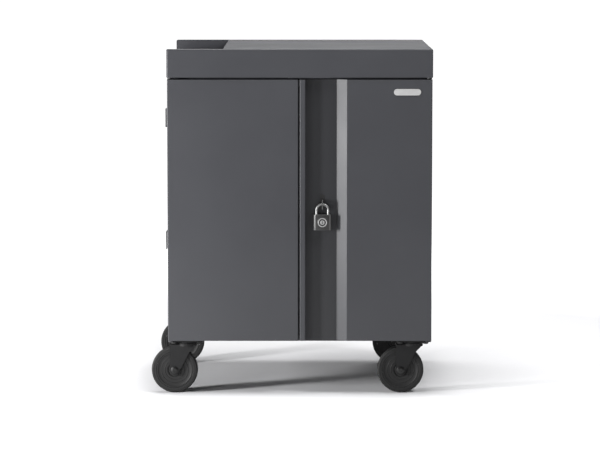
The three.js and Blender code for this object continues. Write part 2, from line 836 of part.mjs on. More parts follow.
function outletStrip(floor) {
  const near = partitionY + sheet + seatGap;
  const section = rectangle(stripDepth, stripHeight, stripCorner);
  const middle = [0, near + stripDepth / 2, floor + stripRise];
  let body = prism(section, "x", -stripHalf, stripHalf).translate(middle);
  const face = near + stripDepth;
  for (let i = 0; i < outletCount; i += 1) {
    const x = (i - (outletCount - 1) / 2) * outletPitch;
    body = body.add(box(x - outletWidth / 2, x + outletWidth / 2, face - stripCorner, face + outletProud,
      floor + stripRise - outletHeight / 2, floor + stripRise + outletHeight / 2));
  }
  return body;
}

function controller() {
  const shape = rectangle(controllerWidth, controllerDepth, controllerCorner);
  const low = baseTop + seatGap;
  const z = low + controllerHeight / 2;
  const [halfWidth, halfHeight] = [switchWidth / 2 + runGap, switchHeight / 2 + runGap];
  const pocket = box(-switchX - halfWidth, -switchX + halfWidth,
    controllerRear - switchDepth - runGap, controllerRear + cutPast, z - halfHeight, z + halfHeight);
  return prism(shape, "z", low, low + controllerHeight)
    .translate([controllerWidth / 2 - controllerLeft, controllerRear - controllerDepth / 2, 0])
    .subtract(pocket);
}

// The rocker is drawn round its pivot at the mouth of its pocket, and stands tilted to off
function rocker() {
  const half = switchHeight / 2 - runGap;
  const tilt = half * Math.tan(THREE.MathUtils.degToRad(switchTilt));
  const inner = switchDepth / 2;
  const section = outline([
    [-inner, -half / 2], [0, -half], [switchProud - tilt, -half], [switchProud / 2, 0],
    [switchProud + tilt, half], [0, half], [-inner, half / 2],
  ]);
  return prism(section, "x", -switchWidth / 2, switchWidth / 2);
}

function powerInlet() {
  const outer = -bodyHalf - seatGap;
  const flange = prism(rectangle(inletFlangeWidth, inletFlangeHeight, inletWall), "x",
    outer - inletFlange, outer);
  const body = prism(rectangle(inletBodyWidth, inletBodyHeight, inletWall), "x",
    outer - inletFlange, outer + inletBodyDepth);
  const well = rectangle(inletBodyWidth - 2 * inletWall, inletBodyHeight - 2 * inletWall, inletWall);
  const socket = prism(well, "x", outer - inletFlange - cutPast, outer + inletBodyDepth - inletFloor);
  return flange.add(body).subtract(socket).translate([0, bracketY, inletZ]);
}

function cordBracket(z, turn) {
  const inner = -bodyHalf - seatGap;
  const outer = -bodyHalf - bracketReach;
  const [arm, tip] = [z - (turn * bracketHeight) / 2, z + (turn * bracketHeight) / 2];
  const path = [[inner, tip], [inner, arm], [outer, arm], [outer, tip]];
  const [low, high] = [bracketY - bracketWidth / 2, bracketY + bracketWidth / 2];
  return prism(bent(path, -turn * bracketSheet), "y", low, high);
}

function buildPowerBay() {
  for (const [tier, floor] of [["lower", baseTop], ["upper", shelfTop]]) {
    add(cart, `${tier}_adapter_shelf`, adapterShelf(floor), paint);
    add(cart, `${tier}_outlet_strip`, outletStrip(floor), greyPlastic);
  }
  add(cart, "power_controller", controller(), darkPaint);
  const pivot = new THREE.Group();
  pivot.position.set(-switchX, controllerRear, baseTop + seatGap + controllerHeight / 2);
  cart.add(pivot);
  add(pivot, "power_switch", rocker(), redPlastic);
  add(cart, "power_inlet", powerInlet(), blackPlastic);
  add(cart, "upper_cord_bracket", cordBracket(bracketUpper, 1), paint);
  add(cart, "lower_cord_bracket", cordBracket(bracketLower, -1), paint);
}

// Casters, drawn round the swivel axis with the wheel trailing towards -X
function casterMount() {
  const sheetPlate = prism(rectangle(casterPlateLength, casterPlateWidth, casterPlateCorner), "z",
    casterPlateUnder, casterPlateTop);
  const headTop = crownUnder - seatGap;
  const stem = turned([
    [0, headTop - kingpinHeadHeight], [kingpinHead, headTop - kingpinHeadHeight], [kingpinHead, headTop],
    [kingpinRadius, headTop], [kingpinRadius, raceTop + seatGap], [upperRaceRadius, raceTop + seatGap],
    [upperRaceRadius, casterPlateTop], [0, casterPlateTop],
  ], "z", wheelFacets);
  let body = sheetPlate.add(stem);
  for (const x of [-boltSpacingX / 2, boltSpacingX / 2]) {
    for (const y of [-boltSpacingY / 2, boltSpacingY / 2]) {
      const head = rod(boltHead, casterPlateUnder - boltHeadHeight, casterPlateTop, "z", hexFacets);
      body = body.add(head.translate([x, y, 0]));
    }
  }
  return body;
}

const forkInner = wheelWidth / 2 + wheelSideGap;
const forkOuter = forkInner + legSheet;

function forkLeg(side) {
  const knee = new THREE.Vector2(kneeX + trail, crownTop - kneeDrop - wheelRadius);
  const start = knee.angle() - Math.acos(legBoss / knee.length());
  const shape = new THREE.Shape();
  shape.moveTo(-trail - legBoss, crownTop);
  shape.lineTo(crownLead, crownTop);
  shape.lineTo(kneeX, crownTop - kneeDrop);
  shape.absarc(-trail, wheelRadius, legBoss, start, -Math.PI, true);
  shape.closePath();
  const [low, high] = [side * forkInner, side * forkOuter].sort((a, b) => a - b);
  return prism(shape, "y", low, high, bossSteps);
}

function casterFork() {
  const crown = outline([
    [-trail - legBoss, -forkOuter], [crownLead, -forkOuter, casterPlateCorner],
    [crownLead, forkOuter, casterPlateCorner], [-trail - legBoss, forkOuter],
  ]);
  const race = rod(lowerRaceRadius, crownUnder, raceTop, "z", wheelFacets);
  const kingHole = rod(kingpinRadius + runGap, crownUnder - cutPast, raceTop + cutPast, "z", wheelFacets);
  const axleHole = rod(axleRadius + runGap, -forkOuter - cutPast, forkOuter + cutPast, "y");
  return prism(crown, "z", crownUnder, crownTop)
    .add(forkLeg(-1))
    .add(forkLeg(1))
    .add(race)
    .subtract(kingHole)
    .subtract(axleHole.translate([-trail, 0, wheelRadius]));
}

function axleBolt() {
  const inner = forkOuter + seatGap;
  const outer = inner + axleHeadHeight;
  return rod(axleRadius, -outer, outer, "y")
    .add(rod(axleHead, -outer, -inner, "y", hexFacets))
    .add(rod(axleHead, inner, outer, "y", hexFacets));
}

// Wheel pieces are turned about Y and set with a flat facet down, so that the wheel stands at its radius
const facetScale = 1 / Math.cos(Math.PI / wheelFacets);
const rimRadius = wheelRadius - tyreDepth - seatGap;

function mirrored(half) {
  const other = half.map(([radius, height]) => [radius, -height]).reverse();
  return [...other, ...half, other[0]];
}

function wheelPiece(halfProfile) {
  const scaled = halfProfile.map(([radius, height]) => [radius * facetScale, height]);
  return turned(mirrored(scaled), "y", wheelFacets).rotate([0, 180 / wheelFacets, 0]);
}

function wheelCore() {
  const hub = forkInner - hubProud;
  const rimInner = rimRadius - rimWall;
  return wheelPiece([
    [rimRadius, rimWidth / 2], [rimInner, rimWidth / 2], [rimInner - rimWall, webWidth / 2],
    [hubRadius + rimWall, webWidth / 2], [hubRadius, hub], [axleRadius + runGap, hub],
  ]);
}

function wheelTyre() {
  const half = wheelWidth / 2;
  const bend = (turn) => [
    wheelRadius - tyreShoulder + tyreShoulder * Math.cos(turn),
    half - tyreShoulder + tyreShoulder * Math.sin(turn),
  ];
  return wheelPiece([bend(0), bend(Math.PI / 4), bend(Math.PI / 2), [wheelRadius - tyreDepth, half]]);
}

function buildCasters() {
  const places = { front_left: [-1, -1], front_right: [1, -1], rear_left: [-1, 1], rear_right: [1, 1] };
  for (const [place, [sideX, sideY]] of Object.entries(places)) {
    const caster = new THREE.Group();
    caster.position.set(sideX * casterX, sideY * casterY, 0);
    cart.add(caster);
    add(caster, `${place}_caster_mount`, casterMount(), darkPaint);
    add(caster, `${place}_caster_fork`, casterFork(), darkPaint);
    const axle = new THREE.Group();
    axle.position.set(-trail, 0, wheelRadius);
    caster.add(axle);
    add(axle, `${place}_axle_bolt`, axleBolt(), zinc);
    add(axle, `${place}_wheel_core`, wheelCore(), blackPlastic);
    add(axle, `${place}_tyre`, wheelTyre(), rubber);
  }
}

buildShell();
add(cart, "top_cap", topCap(), paint);
add(cart, "top_tray", topTray(), paint);
buildFrontDoors();
buildPadlock();
buildRear();
buildDeviceBay();
buildPowerBay();
buildCasters();

export default cart;
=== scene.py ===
"""Looks of the laptop charging cart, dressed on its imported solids. Metres, +Z up, front to -Y."""
import math
from collections import namedtuple

import bpy
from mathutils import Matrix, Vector


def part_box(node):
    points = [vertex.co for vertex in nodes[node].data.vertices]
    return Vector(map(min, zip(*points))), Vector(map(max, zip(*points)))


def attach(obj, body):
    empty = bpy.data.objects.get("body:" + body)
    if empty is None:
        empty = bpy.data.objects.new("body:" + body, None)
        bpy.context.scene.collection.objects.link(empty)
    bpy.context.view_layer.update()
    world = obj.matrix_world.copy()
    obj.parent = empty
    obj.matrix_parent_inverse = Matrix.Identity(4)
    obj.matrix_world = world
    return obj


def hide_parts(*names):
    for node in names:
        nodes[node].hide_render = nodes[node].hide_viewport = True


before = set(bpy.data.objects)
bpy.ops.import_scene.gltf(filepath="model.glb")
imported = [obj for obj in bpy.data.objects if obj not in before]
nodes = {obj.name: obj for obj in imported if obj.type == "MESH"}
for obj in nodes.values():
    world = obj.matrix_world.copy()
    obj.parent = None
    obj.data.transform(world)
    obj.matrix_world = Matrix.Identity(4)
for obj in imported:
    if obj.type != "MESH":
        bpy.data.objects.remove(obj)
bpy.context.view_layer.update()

MM = 0.001
TURN = 2 * math.pi
# Neighbouring faces that turn by less than this many degrees shade as one
SMOOTH_ANGLE, CRISP_ANGLE, EDGED_ANGLE, ROUND_ANGLE = 40, 30, 35, 60
# Steps round a small, a middling and a large circle
SMALL_ROUND, MIDDLE_ROUND, LARGE_ROUND = 24, 48, 64
SAME_PLACE = 0.01
CORNERS = ("front_left", "front_right", "rear_left", "rear_right")
# Cosines of faces and edges that point along an axis: about, and squarely
ABOUT, SQUARE = 0.9, 0.99

# Camera at the photograph's place, and the studio
CAMERA_PLACE = (0.02455, -8.0446, 1.3004)
CAMERA_PITCH = math.radians(6.074)
FOCAL_PIXELS = 2791
IMAGE_WIDTH = 600
SENSOR = 36
VIEW_DEPTH = 1000
SKY_STRENGTH = 0.01
FLOOR_SIZE = 800
# Name, place, aim, power in watts, size
LAMPS = [
    ("left_softbox", (-2.2, -1.3, 0.7), (0.1, -0.3, 0.5), 104, (0.25, 0.6)),
    ("left_low", (-1.2, -1.6, 0.35), (0.0, -0.3, 0.1), 10, (0.3, 0.3)),
    ("top_softbox", (-0.2, 0.75, 3.2), (0.05, 0.2, 0.9), 88, (2.0, 2.0)),
    ("top_front", (0.0, -0.7, 3.2), (0.0, -0.4, 0.0), 38, (1.0, 1.0)),
    ("right_front", (1.6, -1.2, 2.4), (0.6, -0.2, 0.0), 47, (0.6, 0.6)),
    ("rear_fill", (2.2, 3.6, 1.8), (0, 0, 0.5), 34, (2.0, 2.0)),
    ("rear_low", (0.8, 3.2, 1.0), (0, 0, 0.3), 25, (3.0, 1.0)),
]


def set_camera():
    tilt = math.pi / 2 - CAMERA_PITCH
    bpy.ops.object.camera_add(location=CAMERA_PLACE, rotation=(tilt, 0, 0))
    camera = bpy.context.object
    camera.data.sensor_fit = "HORIZONTAL"
    camera.data.sensor_width = SENSOR
    camera.data.lens = FOCAL_PIXELS / IMAGE_WIDTH * SENSOR
    camera.data.clip_end = VIEW_DEPTH
    bpy.context.scene.camera = camera


def set_studio():
    view = bpy.context.scene.view_settings
    view.view_transform = "Standard"
    view.look = "None"
    world = bpy.data.worlds.new("studio")
    world.use_nodes = True
    sky = world.node_tree.nodes["Background"]
    sky.inputs["Color"].default_value = (1, 1, 1, 1)
    sky.inputs["Strength"].default_value = SKY_STRENGTH
    bpy.context.scene.world = world
    for lamp in LAMPS:
        hang_lamp(*lamp)


def hang_lamp(name, place, aim, power, size):
    direction = Vector(aim) - Vector(place)
    turn = direction.to_track_quat("-Z", "Y").to_euler()
    bpy.ops.object.light_add(type="AREA", location=place, rotation=turn)
    lamp = bpy.context.object
    lamp.name = name
    lamp.data.shape = "RECTANGLE"
    lamp.data.energy = power
    lamp.data.size, lamp.data.size_y = size


def lay_floor():
    begin()
    bpy.ops.mesh.primitive_plane_add(size=FLOOR_SIZE, location=(0, 0, 0))
    floor = bpy.context.object
    floor.name = "studio_floor"
    floor.data.materials.append(studio_white())


# Modelling helpers: each starts from a primitive and shapes it in edit mode, in millimetres
def begin():
    if bpy.context.object and bpy.context.object.mode != "OBJECT":
        bpy.ops.object.mode_set(mode="OBJECT")
    bpy.ops.object.select_all(action="DESELECT")


def select(*pieces):
    """Only these pieces selected, with the first one active."""
    begin()
    for piece in pieces:
        piece.select_set(True)
    bpy.context.view_layer.objects.active = pieces[0]


def freeze():
    """The selected piece's place, turn and size become part of its mesh."""
    bpy.ops.object.transform_apply(location=True, rotation=True, scale=True)


def all_corners():
    """Every corner of the active piece selected, in edit mode."""
    bpy.ops.object.mode_set(mode="EDIT")
    bpy.ops.mesh.select_mode(type="VERT")
    bpy.ops.mesh.select_all(action="SELECT")


def round_edges(width, steps):
    bpy.ops.mesh.bevel(offset=width * MM, segments=steps, affect="EDGES")


def settle(piece, name, smooth=SMOOTH_ANGLE):
    """Back in object mode, named, at the origin, with outward faces and smooth round faces."""
    all_corners()
    bpy.ops.mesh.remove_doubles(threshold=1e-6)
    bpy.ops.mesh.normals_make_consistent(inside=False)
    bpy.ops.object.mode_set(mode="OBJECT")
    piece.name = name
    piece.data.name = name
    freeze()
    bpy.ops.object.shade_smooth_by_angle(angle=math.radians(smooth))
    return piece


def turned(name, profile, centre, steps, axis="y", smooth=SMOOTH_ANGLE):
    """A wire of (radius, along) points, spun round an axis through the centre."""
    along = Vector((axis == "x", axis == "y", axis == "z"))
    across = Vector((1, 0, 0)) if axis == "z" else Vector((0, 0, 1))
    middle = Vector(centre) * MM
    points = [middle + across * radius * MM + along * height * MM for radius, height in profile]
    begin()
    bpy.ops.mesh.primitive_plane_add(size=MM, location=(0, 0, 0))
    piece = bpy.context.object
    all_corners()
    bpy.ops.mesh.merge(type="CENTER")
    bpy.ops.transform.translate(value=points[0])
    for here, there in zip(points, points[1:]):
        bpy.ops.mesh.extrude_vertices_move(TRANSFORM_OT_translate={"value": there - here})
    bpy.ops.mesh.select_all(action="SELECT")
    bpy.ops.mesh.spin(steps=steps, angle=TURN, center=middle, axis=along)
    return settle(piece, name, smooth)


def drum(radius, start, end):
    """The profile of a plain cylinder."""
    return [(0, start), (radius, start), (radius, end), (0, end)]


def facing(profile, side):
    """A profile that points along its axis, or against it for side -1."""
    return [(radius, side * height) for radius, height in profile]


def pick(piece, wanted, kind="FACE"):
    """Selects the corners, edges or faces that a test of place and direction wants."""
    bpy.ops.object.mode_set(mode="EDIT")
    bpy.ops.mesh.select_mode(type=kind)
    bpy.ops.mesh.select_all(action="DESELECT")
    bpy.ops.object.mode_set(mode="OBJECT")
    mesh = piece.data
    if kind == "VERT":
        for corner in mesh.vertices:
            corner.select = bool(wanted(corner.co))
    elif kind == "FACE":
        for face in mesh.polygons:
            face.select = bool(wanted(face.center, face.normal))
    else:
        for edge in mesh.edges:
            a, b = (mesh.vertices[i].co for i in edge.vertices)
            edge.select = bool(wanted((a + b) / 2, (b - a).normalized()))
    bpy.ops.object.mode_set(mode="EDIT")


def start_block(low, high):
    """A cube that fills this box, with its place in its mesh."""
    low, high = Vector(low) * MM, Vector(high) * MM
    begin()
    bpy.ops.mesh.primitive_cube_add(size=1, location=(low + high) / 2, scale=high - low)
    freeze()
    return bpy.context.object


def rounded_block(name, low, high, edge, steps=2):
    block = start_block(low, high)
    all_corners()
    round_edges(edge, steps)
    return settle(block, name)


def joined(name, *pieces):
    select(*pieces)
    bpy.ops.object.join()
    pieces[0].name = name
    pieces[0].data.name = name
    return pieces[0]


def copies(original, moves, name):
    """One piece of the original's copies at these moves."""
    made = []
    for move in moves:
        select(original)
        bpy.ops.object.duplicate()
        copy = bpy.context.object
        copy.location = Vector(move) * MM
        freeze()
        made.append(copy)
    bpy.data.objects.remove(original)
    return joined(name, *made)


def cut(piece, *cutters):
    """Takes the cutters out of a piece and removes them."""
    for cutter in cutters:
        select(piece)
        bpy.ops.object.modifier_add(type="BOOLEAN")
        modifier = piece.modifiers[-1]
        modifier.operation = "DIFFERENCE"
        modifier.object = cutter
        bpy.ops.object.modifier_apply(modifier=modifier.name)
        bpy.data.objects.remove(cutter)
    bpy.ops.object.shade_smooth_by_angle(angle=math.radians(SMOOTH_ANGLE))
    return piece


Box = namedtuple("Box", "low high middle")


def measure(node):
    """A node's lowest corner, highest corner and middle, in millimetres."""
    low, high = (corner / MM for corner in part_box(node))
    return Box(low, high, (low + high) / 2)


def dress(piece, body, finish, replaced=()):
    piece.data.materials.clear()
    piece.data.materials.append(finish)
    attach(piece, body)
    if replaced:
        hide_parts(*replaced)
    return piece


# Node helpers
FLOAT, VECTOR = "NodeSocketFloat", "NodeSocketVector"
# Colour sockets of a mix node: first, second and result
MIX_FIRST, MIX_SECOND, MIX_RESULT = 6, 7, 2
# Dark and light ends of a noise tone
TONE_ENDS = (0.3, 0.7)


def add_node(tree, kind, links=None, **values):
    """A node with its settings, its socket values and its incoming links."""
    node = tree.nodes.new(kind)
    for key, value in values.items():
        setattr(node, key, value)
    for socket, value in (links or {}).items():
        if isinstance(value, bpy.types.NodeSocket):
            tree.links.new(value, node.inputs[socket])
        else:
            node.inputs[socket].default_value = value
    return node


def ramp(tree, value, start, end, low=0.0, high=1.0, **settings):
    """A value that runs from low to high as another one runs from start to end."""
    return add_node(tree, "ShaderNodeMapRange", {
        "Value": value, "From Min": start, "From Max": end, "To Min": low, "To Max": high},
        **settings).outputs[0]


def spread(tree, tone, low, high):
    """A value that runs between two ends as a tone runs from dark to light."""
    return ramp(tree, tone, *TONE_ENDS, low, high)


def combined(tree, operation, *values):
    links = dict(enumerate(values))
    return add_node(tree, "ShaderNodeMath", links, operation=operation).outputs[0]


def mixed(tree, share, first, second):
    links = {"Factor": share, MIX_FIRST: first, MIX_SECOND: second}
    return add_node(tree, "ShaderNodeMix", links, data_type="RGBA").outputs[MIX_RESULT]


def part_of(tree, place, axis):
    return add_node(tree, "ShaderNodeSeparateXYZ", {0: place}).outputs[axis]


def stretched(tree, place, scale):
    return add_node(tree, "ShaderNodeMapping", {"Vector": place, "Scale": scale}).outputs[0]


def noise(tree, place, scale, detail, roughness):
    return add_node(tree, "ShaderNodeTexNoise", {
        "Vector": place, "Scale": scale, "Detail": detail,
        "Roughness": roughness}).outputs["Fac"]


# Node groups that several finishes share
SPECK_SHARE = 0.35
MARK_STRETCH = (60.0, 60.0, 210.0)
MARK_ENDS = (0.6, 0.72)
SPOT_SCALE = 35.0


def new_group(name, inputs, outputs):
    group = bpy.data.node_groups.new(name, "ShaderNodeTree")
    for label, kind in inputs.items():
        group.interface.new_socket(name=label, in_out="INPUT", socket_type=kind)
    for label, kind in outputs.items():
        group.interface.new_socket(name=label, in_out="OUTPUT", socket_type=kind)
    given = group.nodes.new("NodeGroupInput").outputs
    made = group.nodes.new("NodeGroupOutput").inputs
    return group, given, made


def grain_group():
    """Fine height and slow tone of a sprayed or moulded skin."""
    group, given, made = new_group(
        "skin_grain", {"Vector": VECTOR, "Grain": FLOAT, "Cloud": FLOAT},
        {"Height": FLOAT, "Tone": FLOAT})
    fine = noise(group, given["Vector"], given["Grain"], detail=3.0, roughness=0.55)
    slow = noise(group, given["Vector"], given["Cloud"], detail=4.0, roughness=0.6)
    speck = combined(group, "MULTIPLY", fine, SPECK_SHARE)
    tone = combined(group, "MULTIPLY_ADD", slow, 1 - SPECK_SHARE, speck)
    group.links.new(fine, made["Height"])
    group.links.new(tone, made["Tone"])
    return group


def scuff_group():
    """A mask of small rubbed marks that fades out from one height to another."""
    group, given, made = new_group(
        "rubbed_marks", {"Vector": VECTOR, "Most": FLOAT, "None": FLOAT, "Amount": FLOAT},
        {"Mask": FLOAT})
    fade = ramp(group, part_of(group, given["Vector"], "Z"), given["None"], given["Most"])
    rubbed = stretched(group, given["Vector"], MARK_STRETCH)
    patches = noise(group, rubbed, 1.0, detail=5.0, roughness=0.7)
    marks = ramp(group, patches, *MARK_ENDS)
    mask = combined(group, "MULTIPLY", marks, fade)
    share = combined(group, "MULTIPLY", mask, given["Amount"])
    group.links.new(share, made["Mask"])
    return group


def brushed_group():
    """Fine lines along one direction of a rolled or brushed metal."""
    group, given, made = new_group(
        "brushed_lines", {"Vector": VECTOR, "Scale": VECTOR}, {"Height": FLOAT, "Tone": FLOAT})
    drawn = stretched(group, given["Vector"], given["Scale"])
    lines = noise(group, drawn, 1.0, detail=4.0, roughness=0.65)
    spots = noise(group, given["Vector"], SPOT_SCALE, detail=3.0, roughness=0.6)
    half = combined(group, "MULTIPLY", spots, 0.5)
    tone = combined(group, "MULTIPLY_ADD", lines, 0.5, half)
    group.links.new(lines, made["Height"])
    group.links.new(tone, made["Tone"])
    return group


def bounce_light_group():
    """A mask of painted light from the floor's bounce, which grows from nothing at one height to
    its full share at a lower one.
    """
    group, given, made = new_group(
        "painted_bounce_light", {"Vector": VECTOR, "Lift_start": FLOAT, "Lift_full": FLOAT, "Lift_share": FLOAT},
        {"Mask": FLOAT})
    height = part_of(group, given["Vector"], "Z")
    light_share = ramp(group, height, given["Lift_start"], given["Lift_full"], 0.0, given["Lift_share"])
    group.links.new(light_share, made["Mask"])
    return group


GRAIN = grain_group()
SCUFFS = scuff_group()
BRUSHED = brushed_group()
BOUNCE_LIGHT = bounce_light_group()


# Finishes
METAL_BUMP = 0.4
GLOW_NEAR, GLOW_FAR, GLOW_STRENGTH = 1.2, 2.8, 1.1
# Bands of light on the floor beside the cart: axis, start, end, strength
FLOOR_GLOW = [
    ("Y", -0.27, -0.42, 0.3), ("X", -0.34, -0.52, 0.35),
    ("X", 0.36, 0.5, 0.13), ("Y", 0.3, 0.65, 0.16),
]


def grey(level, blue=1.0):
    return (level, level, level * blue, 1)


def finish_tree(name, **sockets):
    finish = bpy.data.materials.new(name)
    finish.use_nodes = True
    tree = finish.node_tree
    shader = tree.nodes["Principled BSDF"]
    for socket, value in sockets.items():
        shader.inputs[socket.replace("_", " ")].default_value = value
    place = tree.nodes.new("ShaderNodeTexCoord").outputs["Object"]
    return finish, tree, shader, place


def use_group(tree, group, links):
    return add_node(tree, "ShaderNodeGroup", links, node_tree=group).outputs


def bumped(tree, shader, height, depth, strength=1.0):
    bump = add_node(tree, "ShaderNodeBump", {
        "Height": height, "Strength": strength, "Distance": depth * MM})
    tree.links.new(bump.outputs[0], shader.inputs["Normal"])


def skin(name, dark, pale, rough, grain, cloud, depth,
         scuff=None, recess_shade=None, dust=None, **sockets):
    """A painted or moulded skin: grained, uneven, rubbed, darker deeper in a recess as painted
    shade, paler lower down as painted floor-bounce light.
    """
    finish, tree, shader, place = finish_tree(name, **sockets)
    texture = use_group(tree, GRAIN, {"Vector": place, "Grain": grain, "Cloud": cloud})
    colour = mixed(tree, spread(tree, texture["Tone"], 0.0, 1.0), dark, pale)
    if scuff:
        most, none, amount, rubbed = scuff
        marks = use_group(tree, SCUFFS, {
            "Vector": place, "Most": most, "None": none, "Amount": amount})
        colour = mixed(tree, marks["Mask"], colour, rubbed)
    # Painted shade: the colour turns towards a shade tone as the surface goes deeper into a recess
    if recess_shade:
        shade_start, ramp_end, shade_tone = recess_shade
        share = ramp(tree, part_of(tree, place, "Y"), shade_start, ramp_end)
        colour = mixed(tree, share, colour, shade_tone)
    # Painted light: the colour turns paler towards a light tone lower down, where light bounces up
    # from the floor
    if dust:
        no_light_height, full_light_height, light_share, light_tone = dust
        bounce_mask = use_group(tree, BOUNCE_LIGHT, {
            "Vector": place, "Lift_start": no_light_height, "Lift_full": full_light_height, "Lift_share": light_share})
        colour = mixed(tree, bounce_mask["Mask"], colour, light_tone)
    tree.links.new(colour, shader.inputs["Base Color"])
    tree.links.new(spread(tree, texture["Tone"], *rough), shader.inputs["Roughness"])
    bumped(tree, shader, texture["Height"], depth)
    return finish


def metal(name, dark, pale, rough, lines, depth, worn=None):
    """A brushed metal, and where it is worn, a bare one that shows towards the front."""
    finish, tree, shader, place = finish_tree(name, Metallic=1.0)
    texture = use_group(tree, BRUSHED, {"Vector": place, "Scale": lines})
    tone = spread(tree, texture["Tone"], 0.0, 1.0)
    colour = mixed(tree, tone, dark, pale)
    if worn:
        whole, ramp_end, bare_dark, bare_pale = worn
        share = ramp(tree, part_of(tree, place, "Y"), whole, ramp_end)
        colour = mixed(tree, share, colour, mixed(tree, tone, bare_dark, bare_pale))
    tree.links.new(colour, shader.inputs["Base Color"])
    tree.links.new(spread(tree, texture["Tone"], *rough), shader.inputs["Roughness"])
    bumped(tree, shader, texture["Height"], depth, METAL_BUMP)
    return finish


def studio_white():
    """Pale floor that glows away from the cart, as a lit backdrop does."""
    finish, tree, shader, place = finish_tree(
        "studio_white", Roughness=0.9, Specular_IOR_Level=0.1, Emission_Strength=1.0)
    texture = use_group(tree, GRAIN, {"Vector": place, "Grain": 40.0, "Cloud": 1.2})
    tone = spread(tree, texture["Tone"], 0.0, 1.0)
    colour = mixed(tree, tone, grey(0.58, 1.02), grey(0.61, 1.02))
    tree.links.new(colour, shader.inputs["Base Color"])
    away = add_node(tree, "ShaderNodeVectorMath", {0: place}, operation="LENGTH").outputs["Value"]
    soft = {"interpolation_type": "SMOOTHSTEP"}
    brightest = ramp(tree, away, GLOW_NEAR, GLOW_FAR, 0.0, GLOW_STRENGTH, **soft)
    for axis, start, end, strength in FLOOR_GLOW:
        lit = ramp(tree, part_of(tree, place, axis), start, end, 0.0, strength, **soft)
        brightest = combined(tree, "MAXIMUM", brightest, lit)
    tree.links.new(brightest, shader.inputs["Emission Color"])
    return finish


CHARCOAL_COAT = {
    "dark": (0.0268, 0.0275, 0.0315, 1), "pale": (0.0316, 0.0325, 0.037, 1),
    "rough": (0.42, 0.52), "grain": 1100.0, "cloud": 5.0, "depth": 0.05,
    "scuff": (0.153, 0.218, 0.35, (0.12, 0.12, 0.125, 1)),
    # Painted floor-bounce light, paler towards the bottom of the cabinet
    "dust": (0.5, 0.15, 0.05, grey(0.2)), "Specular_IOR_Level": 0.3,
}
ROLLED = (160.0, 160.0, 900.0)
POLISHED = (300.0, 300.0, 80.0)
TAB_WORN = (-0.314, -0.317)

# A skin has its dark and pale tone, roughness from and to, grain and cloud scale, and depth in mm;
# a metal has the stretch of its lines in place of the two scales
CHARCOAL = skin("charcoal_powder_coat", **CHARCOAL_COAT)
# The same coat, with painted shade that darkens it deeper in the recess of the right door
RECESS_SHADED_CHARCOAL = skin("charcoal_coat_with_painted_recess_shade", **CHARCOAL_COAT,
                       recess_shade=(-0.3165, -0.3125, (0.0125, 0.0128, 0.0148, 1)))
BLACK_PAINT = skin("black_caster_paint", grey(0.005, 1.05), grey(0.009, 1.05), (0.5, 0.65),
                   900.0, 18.0, 0.05, scuff=(0.02, 0.14, 0.2, grey(0.03)),
                   Specular_IOR_Level=0.25)
BLACK_PLASTIC = skin("black_moulded_plastic", grey(0.016), grey(0.022), (0.45, 0.6),
                     1500.0, 9.0, 0.04)
GREY_PLASTIC = skin("grey_moulded_plastic", grey(0.17), grey(0.2), (0.45, 0.58),
                    1500.0, 9.0, 0.03)
RED_PLASTIC = skin("red_switch_plastic", (0.36, 0.018, 0.014, 1), (0.44, 0.024, 0.018, 1),
                   (0.25, 0.4), 900.0, 30.0, 0.01)
RUBBER = skin("tyre_rubber", grey(0.010), grey(0.016), (0.62, 0.85), 1300.0, 22.0, 0.08,
              scuff=(0.0, 0.09, 0.4, grey(0.03)), Specular_IOR_Level=0.3)
WHEEL_PLASTIC = skin("wheel_core_plastic", grey(0.009), grey(0.014), (0.45, 0.6),
                     1300.0, 20.0, 0.05, Specular_IOR_Level=0.3)
LABEL_BLACK = skin("padlock_face_enamel", grey(0.005), grey(0.008), (0.45, 0.6),
                   900.0, 40.0, 0.02)
ZINC = metal("zinc_plated_steel", grey(0.42), grey(0.56, 0.98), (0.3, 0.46), ROLLED, 0.02)
CHROME = metal("bright_chrome", grey(0.4), grey(0.5, 1.02), (0.2, 0.32), POLISHED, 0.006)
LOCK_COAT = skin("padlock_grey_coat", grey(0.05), grey(0.065), (0.4, 0.52), 900.0, 40.0, 0.02)
SHACKLE_STEEL = metal("shackle_satin_steel", grey(0.2), grey(0.26), (0.4, 0.5), POLISHED, 0.01)
DARK_ZINC = metal("black_zinc_steel", grey(0.03), grey(0.05), (0.34, 0.5), ROLLED, 0.02)
SILVER_PAINT = skin("silver_lacquer", grey(0.2), grey(0.25), (0.35, 0.45), 1600.0, 30.0, 0.01,
                    Metallic=0.25)
PLATE_SILVER = skin("oval_plate_lacquer", grey(0.27), grey(0.33), (0.35, 0.45),
                    1600.0, 30.0, 0.01)
# Black oxide on the bar behind the door, worn bright on the tab that comes through the slot
LOCK_STEEL = metal("oxide_lock_steel", grey(0.03), grey(0.05), (0.35, 0.5), ROLLED, 0.02,
                   worn=(*TAB_WORN, grey(0.09), grey(0.14)))
# Near-black pads behind the rear vent slots: painted shade where the inside of the cabinet shows
VENT_SHADE_PAD = skin("vent_pad_painted_shade", grey(0.010), grey(0.022), (0.85, 0.95),
                   900.0, 60.0, 0.4)
LAMP_GREEN = skin("lamp_green_plastic", (0.02, 0.22, 0.05, 1), (0.03, 0.3, 0.07, 1),
                  (0.12, 0.22), 600.0, 60.0, 0.004)

